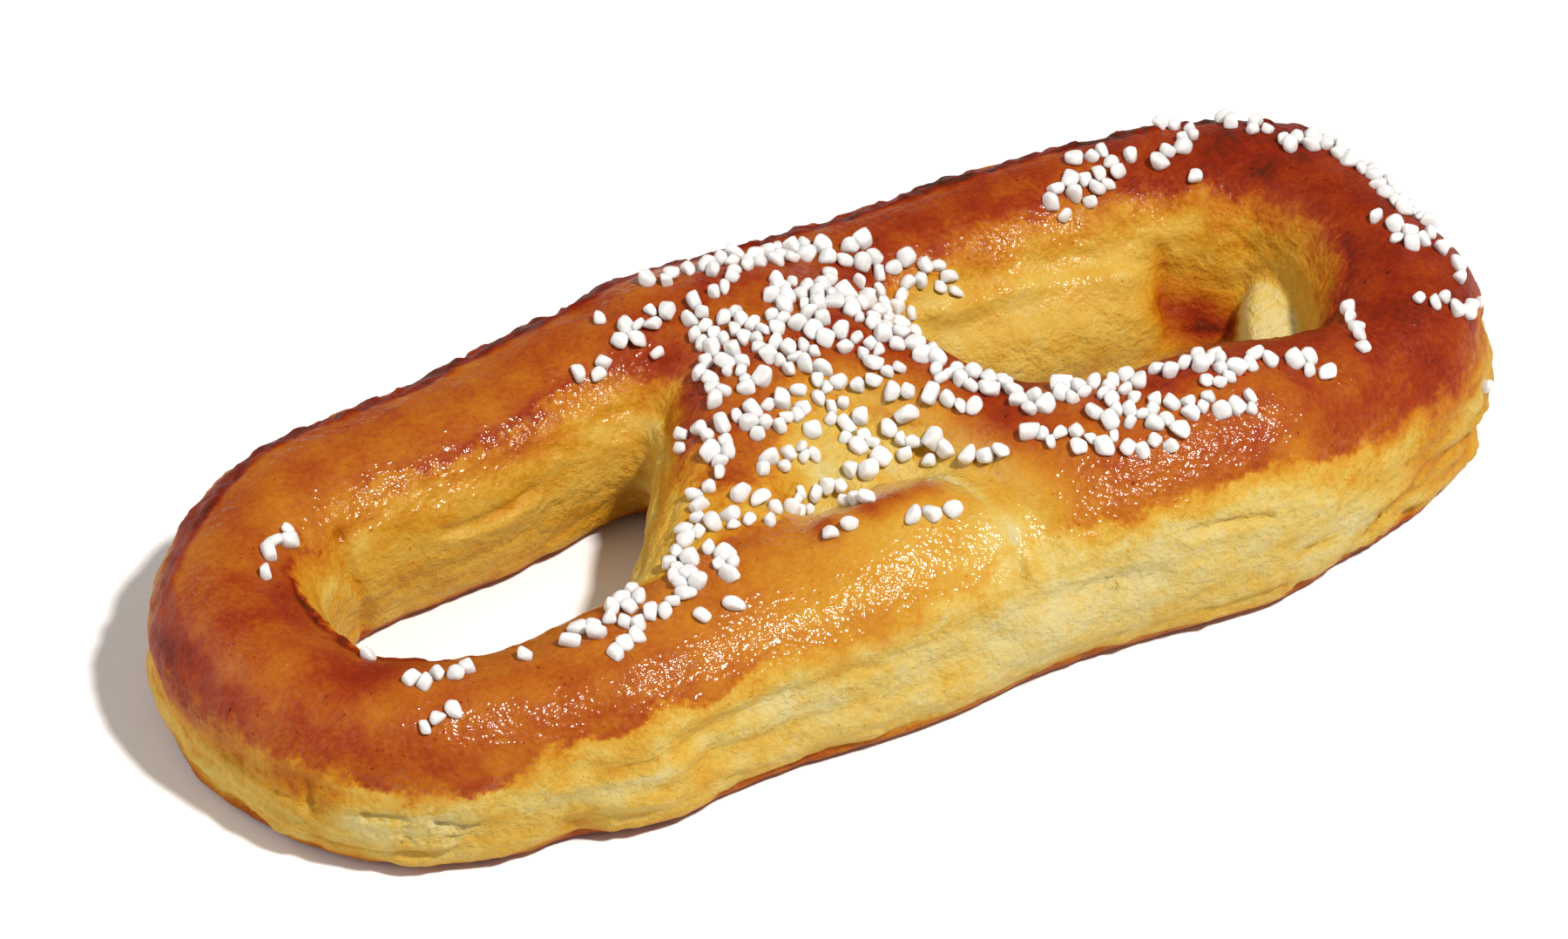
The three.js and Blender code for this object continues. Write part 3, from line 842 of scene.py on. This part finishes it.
def relief(points, normals, marks):
    """Height of the baked skin's relief over the smooth dough, and how deep in a crease each place is,
    which the colours darken as painted shade.
    """
    z, above, wall, inner = points[:, 2], marks["above"], marks["wall"], marks["inner"]
    side = (1 - smooth_share(above, *WALL_TOP)) * smooth_share(z, *WALL_BOTTOM)
    folds = fold_relief(points) + soft_spots(points, BUMPS)
    creases = wall_creases(points, wall) * side * (1 - INNER_CREASE_CALM * inner)
    roughness = WALL_ROUGHNESS + GOLDEN_ROUGHNESS * np.clip(wall / ROUGH_WALL, 0, 1)
    fringe_line = marks["fringe"] * np.exp(-(((above - FRINGE_LINE) / FRINGE_WIDTH) ** 2))
    height = folds - CREASE_DEPTH * creases
    height += layered(points, SWELLS) * smooth_share(z, *SWELL_RISE) + layered(points, DIMPLES)
    height += side * roughness * (1 - INNER_CALM * inner) * layered(points, WALL_PLEATS)
    height += side * layered(points, WALL_CRUMB)
    height += smooth_share(above, *GLAZED) * layered(points, GLAZE_RIPPLES)
    height += fringe_line * (FRINGE_RISE + layered(points, FRINGE_CRUST))
    height += marks["rim"] * (RIM_RISE + layered(points, RIM_BLISTERS))
    height += np.exp(-z / FOOT_CRUST_HEIGHT) * layered(points, FOOT_CRUST)
    resting = smooth_share(-normals[:, 2], *RESTING)
    return height * (1 - resting), np.clip(np.maximum(creases, -folds / FOLD_SHADE), 0, 1)


# Marks that the colours follow

def bridge_share(found, levels):
    """How far each place belongs to the bridge and not to the ring, and the height of the top there."""
    ring_field = section_field(found["ring"], levels)[:, 0]
    bridge_field = np.min([section_field(found[name], levels)[:, 0] for name in BRIDGE_STRANDS], 0)
    share = smooth_share(ring_field - bridge_field, *BRIDGE_TAKEOVER)
    bridge_height = np.max([found[name][0][:, 3] for name in BRIDGE_STRANDS], 0)
    return share, found["ring"][0][:, 3] * (1 - share) + bridge_height * share


def rim_share(points, above, outer, rim):
    """How far each place belongs to the dark, blistered rim of a shoulder."""
    knobbly = above + layered(points, RIM_KNOBS)
    low, high = (np.where(outer, *limits) for limits in zip(OUTER_RIM, INNER_RIM))
    return rim * smooth_share(knobbly - low, *RIM_START) * (1 - smooth_share(knobbly - high, *RIM_END))


def top_tone(points, rim):
    """How browned the glazed top is, with a painted sheen on the right front strand's shoulder."""
    weights = np.stack([soft_spot(points, centre, TONE_REACH) for *centre, _ in CRUST_TONES], 1)
    weights += LEAST_WEIGHT
    tone = weights @ np.array([tone for *_, tone in CRUST_TONES]) / weights.sum(1)
    # Spots of tone, the last three a painted sheen on the right front strand's front shoulder.
    tone += soft_spots(points, TOP_TONE_AND_SHEEN_SPOTS) + layered(points, TOP_STREAKS)
    tone -= SEAM_PALENESS * soft_line(points, SEAM_CREASE, SEAM_PALE_WIDTH)
    return np.minimum(tone + rim * (RIM_BROWNING + layered(points, RIM_SPECKLE)), DARKEST_RIM)


def wall_tone(points, normals, found, wall, inner):
    """How golden the walls are, with their spots, among them painted shade in the right-hand hole's recess,
    streaks, the nub, the foot and the underside, browned and with painted shade.
    """
    z = points[:, 2]
    nub = 1 - smooth_share(section_field(found["nub"], z[:, None], NUB_POWER)[:, 0], *NUB_FADE)
    # The spots add painted shade to the recess beside the nub in the right-hand hole.
    wall = (wall + soft_spots(points, WALL_TONE_AND_SHADE_SPOTS)) * (1 - nub) + NUB_WALL * nub
    streaks = layered(points, WALL_STREAKS) * np.clip(wall / GOLDEN_WALL, *STREAK_LIMITS)
    crumbs = FOOT_EVENNESS + layered(points, FOOT_CRUMBS)
    foot = FOOT_BROWNING * np.exp(-z / FOOT_BROWN_HEIGHT) * crumbs
    foot += FOOT_GILDING * np.exp(-z / FOOT_GOLD_HEIGHT)
    # Facing down, the wall browns as baked bottom and darkens as painted shade under the foot.
    under = smooth_share(-normals[:, 2], *UNDERSIDE)
    return wall + streaks * (1 - INNER_CALM * inner) + foot + UNDERSIDE_BROWNING_AND_SHADE * under


def egg_wash(points, above, inner, matt):
    """How much egg wash there is: over the glaze, in drips below it in the holes, and on the ledge."""
    glazed = smooth_share(above, *WASH_EDGE)
    drips = inner * smooth_share(above, *DRIP_REACH)
    drips *= smooth_share(layered(points, DRIP_PATCHES), *DRIP_EDGE)
    ridge = soft_line(points, LEDGE_RIDGE, LEDGE_GLOSS_WIDTH)
    return np.max([glazed, drips, ridge], 0) * (1 - MATTING * matt)


def crust_marks(points, normals):
    """What the relief and the colours follow: how far in mm each place lies above the glaze's edge, the
    tones of top and wall, the strength of the edge's fringe and of the rim, the egg wash, and whether
    the place faces a hole."""
    x, y, z = points.T
    found = plan(x, y)
    ring_row, _, ring_side = found["ring"]
    edge_out, edge_in, fringe_out, fringe_in, wall, rim_out, rim_in = ring_row[:, 4:].T
    outer = ring_side < 0
    bridge, crown = bridge_share(found, z[:, None])
    ring = 1 - bridge
    inner = np.where(outer, 0.0, 1.0) * ring
    edge = np.where(outer, edge_out, edge_in) * ring + BRIDGE_EDGE * bridge
    fringe = np.where(outer, fringe_out, fringe_in) * ring + BRIDGE_FRINGE * bridge
    shoulder = np.where(outer, rim_out, rim_in) * ring
    wall = wall * ring + BRIDGE_WALL * bridge

    lean = np.maximum(np.sqrt(np.maximum(1 - normals[:, 2] ** 2, 0)), LEAST_LEAN)
    above = (z - edge * crown) / lean + layered(points, EDGE_WAVES)
    patches = smooth_share(layered(points, FRINGE_PATCHES), *FRINGE_PATCH_EDGE)
    matt = np.where(outer, shoulder, 0.0) * (1 - smooth_share(above, *MATT_SHOULDER))
    rim = rim_share(points, above, outer, shoulder)
    return {
        "above": above,
        "tone": top_tone(points, rim),
        "wall": wall_tone(points, normals, found, wall, inner),
        "fringe": np.clip(fringe * (FRINGE_LEAST + (1 - FRINGE_LEAST) * patches), 0, FRINGE_MOST),
        "rim": rim,
        "wash": egg_wash(points, above, inner, matt),
        "inner": inner,
    }


# Dough

def mesh_object(name, vertices, faces, material):
    mesh = bpy.data.meshes.new(name)
    mesh.from_pydata((vertices * MM).tolist(), [], faces.tolist())
    mesh.polygons.foreach_set("use_smooth", np.ones(len(faces), bool))
    mesh.materials.append(material)
    mesh.validate()
    piece = bpy.data.objects.new(name, mesh)
    bpy.context.scene.collection.objects.link(piece)
    return piece


def dough_piece():
    vertices, normals, quads = dough_net()
    marks = crust_marks(vertices, normals)
    height, crease = relief(vertices, normals, marks)
    vertices = vertices + normals * height[:, None]
    vertices[:, 2] = np.maximum(vertices[:, 2], 0)
    golden = np.clip(marks["wall"] / GOLDEN_WALL, *CREASE_LIMITS)
    # Creases and folds darken the top and the golden walls as painted shade.
    marks["tone"] = marks["tone"] + CREASE_SHADE * crease
    marks["wall"] = marks["wall"] + WALL_CREASE_SHADE * crease * golden
    piece = mesh_object("dough", vertices, quads, crust_material())
    crust = piece.data.attributes.new("crust", "FLOAT_COLOR", "POINT")
    columns = np.stack([marks[name] for name in ("above", "tone", "wall", "fringe")], 1)
    crust.data.foreach_set("color", columns.astype(np.float32).ravel())
    wash = piece.data.attributes.new("wash", "FLOAT", "POINT")
    wash.data.foreach_set("value", marks["wash"].astype(np.float32))
    return piece


# Pearl sugar

def seeded_draw(seed):
    """Repeatable draws from 0 to 1."""
    state = seed
    while True:
        state = state * DRAW_FACTOR % DRAW_MODULUS
        yield state / DRAW_MODULUS


def scattered_grains():
    """Place, size and turns of every grain of sugar."""
    draws = seeded_draw(SEED)
    grains = []

    def is_clear(x, y, size):
        return all(math.hypot(g["x"] - x, g["y"] - y) > GRAIN_GAP * (g["size"] + size) / 2 for g in grains)

    for start_x, start_y, end_x, end_y, spread, count in SUGAR_PATCHES:
        for _ in range(count):
            size = GRAIN_SMALL + (GRAIN_LARGE - GRAIN_SMALL) * next(draws)
            width = size * (GRAIN_NARROW + GRAIN_VARIATION * next(draws))
            thickness = size * (GRAIN_THIN + GRAIN_VARIATION * next(draws))
            turns = [2 * math.pi * next(draws) for _ in range(3)]
            for _ in range(PLACING_ATTEMPTS):
                along = next(draws)
                away = spread * math.sqrt(next(draws))
                turn = 2 * math.pi * next(draws)
                x = start_x + (end_x - start_x) * along + away * math.cos(turn)
                y = start_y + (end_y - start_y) * along + away * math.sin(turn)
                if is_clear(x, y, size):
                    scale = (size, width, thickness)
                    grains.append({"x": x, "y": y, "size": size, "scale": scale, "turns": turns})
                    break
    return grains


def ball():
    """Vertices and quads of a ball one unit across: a cube of squares blown up round."""
    steps = range(GRAIN_DETAIL)
    numbers, quads = {}, []
    for axis, face, u, v in itertools.product(range(3), (0, GRAIN_DETAIL), steps, steps):
        corners = [(u, v), (u + 1, v), (u + 1, v + 1), (u, v + 1)]
        if face == 0:
            corners.reverse()
        places = [tuple(np.roll((face, *corner), axis)) for corner in corners]
        quads.append([numbers.setdefault(place, len(numbers)) for place in places])
    cube = 2 * np.array(list(numbers)) / GRAIN_DETAIL - 1
    return unit(np.tan(cube * math.pi / 4)) / 2, np.array(quads)


def grain_shapes(vertices, quads):
    """A few worn chunks: balls with six uneven block sides and some chipped corners pressed on."""
    rng = np.random.default_rng(SEED)
    edges = np.vstack([quads[:, [0, 1]], quads[:, [1, 2]], quads[:, [2, 3]], quads[:, [3, 0]]])
    neighbours = np.bincount(edges[:, 0])
    sides = np.vstack([np.eye(3), -np.eye(3)])
    shapes = []
    for _ in range(GRAIN_KINDS):
        shape = vertices * GRAIN_BLANK
        block = sides + rng.normal(scale=BLOCK_SKEW, size=sides.shape)
        chips = rng.normal(size=(GRAIN_CHIPS, 3))
        reaches = [*rng.uniform(*SIDE_REACH, len(block)), *rng.uniform(*CHIP_REACH, len(chips))]
        for side, limit in zip(unit(np.vstack([block, chips])), reaches):
            shape = shape - np.maximum(shape @ side - limit, 0)[:, None] * side
        for _ in range(GRAIN_SMOOTHINGS):
            sums = np.zeros_like(shape)
            np.add.at(sums, edges[:, 0], shape[edges[:, 1]])
            shape = 0.5 * shape + 0.5 * sums / neighbours[:, None]
        shapes.append(shape / np.ptp(shape, axis=0))
    return shapes


def sugar_piece(dough):
    """Every grain dropped on the dough and pressed in a little."""
    vertices, quads = ball()
    shapes = grain_shapes(vertices, quads)
    points = [vertex.co / MM for vertex in dough.data.vertices]
    surface = BVHTree.FromPolygons(points, [list(face.vertices) for face in dough.data.polygons])
    all_vertices, all_quads = [], []
    for number, grain in enumerate(scattered_grains()):
        drop = Vector((grain["x"], grain["y"], DROP_HEIGHT))
        place, normal, _, _ = surface.ray_cast(drop, Vector((0, 0, -1)))
        if place is None:
            continue
        place = place + normal * (GRAIN_LIFT * grain["size"])
        turn = np.array(Euler(grain["turns"], "ZYX").to_matrix())
        shape = shapes[number % GRAIN_KINDS] * grain["scale"]
        all_quads.append(quads + len(all_vertices) * len(vertices))
        all_vertices.append(shape @ turn.T + np.array(place))
    return mesh_object("pearl_sugar", np.vstack(all_vertices), np.vstack(all_quads), sugar_material())


# Materials

def new_material(name, settings):
    material = bpy.data.materials.new(name)
    material.use_nodes = True
    tree = material.node_tree
    shader = tree.nodes["Principled BSDF"]
    for setting, value in settings.items():
        shader.inputs[setting].default_value = value
    return material, tree, shader


def node(tree, kind, inputs=None, **settings):
    """A node with its settings and its inputs, each a plain value or another node's output."""
    made = tree.nodes.new(kind)
    for name, value in settings.items():
        setattr(made, name, value)
    for name, value in (inputs or {}).items():
        if isinstance(value, bpy.types.NodeSocket):
            tree.links.new(value, made.inputs[name])
        else:
            made.inputs[name].default_value = value
    return made


def math_node(tree, operation, *values):
    return node(tree, "ShaderNodeMath", dict(enumerate(values)), operation=operation).outputs[0]


def mixed(tree, share, start, end):
    return node(tree, "ShaderNodeMix", {0: share, 2: start, 3: end}).outputs[0]


def ranged(tree, value, limits, results=(0.0, 1.0)):
    """A value that goes softly from the first result to the second while the input passes the limits."""
    names = ("From Min", "From Max", "To Min", "To Max")
    inputs = {"Value": value, **dict(zip(names, (*limits, *results)))}
    return node(tree, "ShaderNodeMapRange", inputs, interpolation_type="SMOOTHSTEP").outputs["Result"]


def noise_node(tree, place, size_mm, detail, roughness):
    inputs = {"Vector": place, "Scale": 1 / (size_mm * MM), "Detail": detail, "Roughness": roughness}
    return node(tree, "ShaderNodeTexNoise", inputs).outputs["Fac"]


def centred_noise(tree, place, size_mm, detail, roughness):
    return math_node(tree, "SUBTRACT", noise_node(tree, place, size_mm, detail, roughness), 0.5)


def color_ramp(tree, place, colors):
    ramp = node(tree, "ShaderNodeValToRGB", {"Fac": place})
    stops = ramp.color_ramp.elements
    while len(stops) < len(colors):
        stops.new(1.0)
    for stop, (position, color) in zip(stops, colors):
        stop.position = position
        stop.color = (*color, 1.0)
    return ramp.outputs["Color"]


def bumped(tree, height, bump):
    strength, distance = bump
    inputs = {"Strength": strength, "Distance": distance, "Height": height}
    return node(tree, "ShaderNodeBump", inputs).outputs["Normal"]


def baked_tone(tree, place, above, tone, wall, fringe):
    """How browned each place is: the glaze over the golden walls, its ragged red edge, mottle and pores."""
    ragged = math_node(tree, "MULTIPLY_ADD", centred_noise(tree, place, *FRAY_NOISE), FRAY_REACH, above)
    glaze = mixed(tree, fringe, ranged(tree, ragged, SOFT_EDGE), ranged(tree, ragged, KEEN_EDGE))
    band_end = math_node(tree, "MULTIPLY_ADD", fringe, BAND_FRINGE_WIDTH, BAND_WIDTH)
    band_out = ranged(tree, ragged, (BAND_END, band_end), (1.0, 0.0))
    band = math_node(tree, "MULTIPLY", ranged(tree, ragged, BAND_START), band_out)
    band = math_node(tree, "MULTIPLY", band, fringe)

    gilding = math_node(tree, "MULTIPLY_ADD", wall, GOLDEN_GILDING, GILDING)
    gilded = math_node(tree, "MULTIPLY", ranged(tree, ragged, GOLDEN_EDGE), gilding)
    baked = mixed(tree, glaze, math_node(tree, "ADD", gilded, wall), tone)
    baked = mixed(tree, band, baked, math_node(tree, "MAXIMUM", baked, EDGE_TONE))

    mottle = centred_noise(tree, place, *MOTTLE_NOISE)
    speckle = centred_noise(tree, place, *SPECKLE_NOISE)
    pores = ranged(tree, noise_node(tree, place, *PORE_NOISE), PORE_EDGE)
    baked = math_node(tree, "MULTIPLY_ADD", mottle, MOTTLE_TONE, baked)
    baked = math_node(tree, "MULTIPLY_ADD", speckle, SPECKLE_TONE, baked)
    return math_node(tree, "MULTIPLY_ADD", pores, PORE_TONE, baked)


def crust_material():
    material, tree, shader = new_material("baked_crust", CRUST_SHADER)
    place = node(tree, "ShaderNodeTexCoord").outputs["Object"]
    marks = node(tree, "ShaderNodeAttribute", attribute_name="crust")
    above, tone, wall = node(tree, "ShaderNodeSeparateColor", {"Color": marks.outputs["Color"]}).outputs
    fringe = marks.outputs["Alpha"]
    washed = node(tree, "ShaderNodeAttribute", attribute_name="wash").outputs["Fac"]

    color = color_ramp(tree, baked_tone(tree, place, above, tone, wall, fringe), BAKED_COLORS)
    shine = math_node(tree, "MULTIPLY", washed, ranged(tree, tone, WASH_FADE, WASH_SHINE))
    crumb = math_node(tree, "MULTIPLY", noise_node(tree, place, *CRUMB_NOISE), CRUMB_STRENGTH)
    skin = mixed(tree, washed, crumb, noise_node(tree, place, *WASH_NOISE))
    normal = bumped(tree, skin, CRUST_BUMP)

    tree.links.new(color, shader.inputs["Base Color"])
    tree.links.new(shine, shader.inputs["Coat Weight"])
    tree.links.new(normal, shader.inputs["Normal"])
    tree.links.new(normal, shader.inputs["Coat Normal"])
    return material


def sugar_material():
    material, tree, shader = new_material("pearl_sugar", SUGAR_SHADER)
    place = node(tree, "ShaderNodeTexCoord").outputs["Object"]
    color = color_ramp(tree, noise_node(tree, place, *SUGAR_CLOUD_NOISE), SUGAR_COLORS)
    normal = bumped(tree, noise_node(tree, place, *SUGAR_GRIT_NOISE), SUGAR_BUMP)
    tree.links.new(color, shader.inputs["Base Color"])
    tree.links.new(normal, shader.inputs["Normal"])
    return material


# Stage

def add_camera():
    azimuth, elevation = math.radians(CAMERA_AZIMUTH), math.radians(CAMERA_ELEVATION)
    back = Vector((
        math.sin(azimuth) * math.cos(elevation),
        -math.cos(azimuth) * math.cos(elevation),
        math.sin(elevation),
    ))
    camera = bpy.data.objects.new("camera", bpy.data.cameras.new("camera"))
    camera.data.lens = CAMERA_LENS
    camera.location = (Vector(CAMERA_AIM) + back * CAMERA_DISTANCE) * MM
    camera.rotation_euler = back.to_track_quat("Z", "Y").to_euler()
    bpy.context.scene.collection.objects.link(camera)
    bpy.context.scene.camera = camera


def add_lamp(name, shape, direction, distance, size, power, color):
    direction = Vector(direction).normalized()
    light = bpy.data.lights.new(name, "AREA")
    light.shape = shape
    light.size = size * MM
    light.energy = power
    light.color = color
    lamp = bpy.data.objects.new(name, light)
    lamp.location = direction * distance * MM
    lamp.rotation_euler = direction.to_track_quat("Z", "Y").to_euler()
    bpy.context.scene.collection.objects.link(lamp)


def add_light():
    add_lamp("key", "DISK", KEY_DIRECTION, KEY_DISTANCE, KEY_SIZE, KEY_POWER, KEY_COLOR)
    add_lamp("fill", "SQUARE", FILL_DIRECTION, FILL_DISTANCE, FILL_SIZE, FILL_POWER, FILL_COLOR)
    world = bpy.data.worlds.new("surround")
    world.use_nodes = True
    background = world.node_tree.nodes["Background"]
    background.inputs["Color"].default_value = (*SURROUND_COLOR, 1)
    background.inputs["Strength"].default_value = SURROUND_STRENGTH
    bpy.context.scene.world = world


def add_floor():
    material, _, _ = new_material("floor", FLOOR_SHADER)
    half = FLOOR_SIZE / 2
    corners = np.array([(-half, -half, 0), (half, -half, 0), (half, half, 0), (-half, half, 0)])
    floor = mesh_object("floor", corners, np.array([[0, 1, 2, 3]]), material)


add_camera()
add_light()
add_floor()
bpy.context.scene.view_settings.view_transform = "Standard"

dough = dough_piece()
sugar = sugar_piece(dough)
for piece, slot in ((dough, "crust"), (sugar, "pearl_sugar")):
    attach(piece, "root")
    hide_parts("bun")
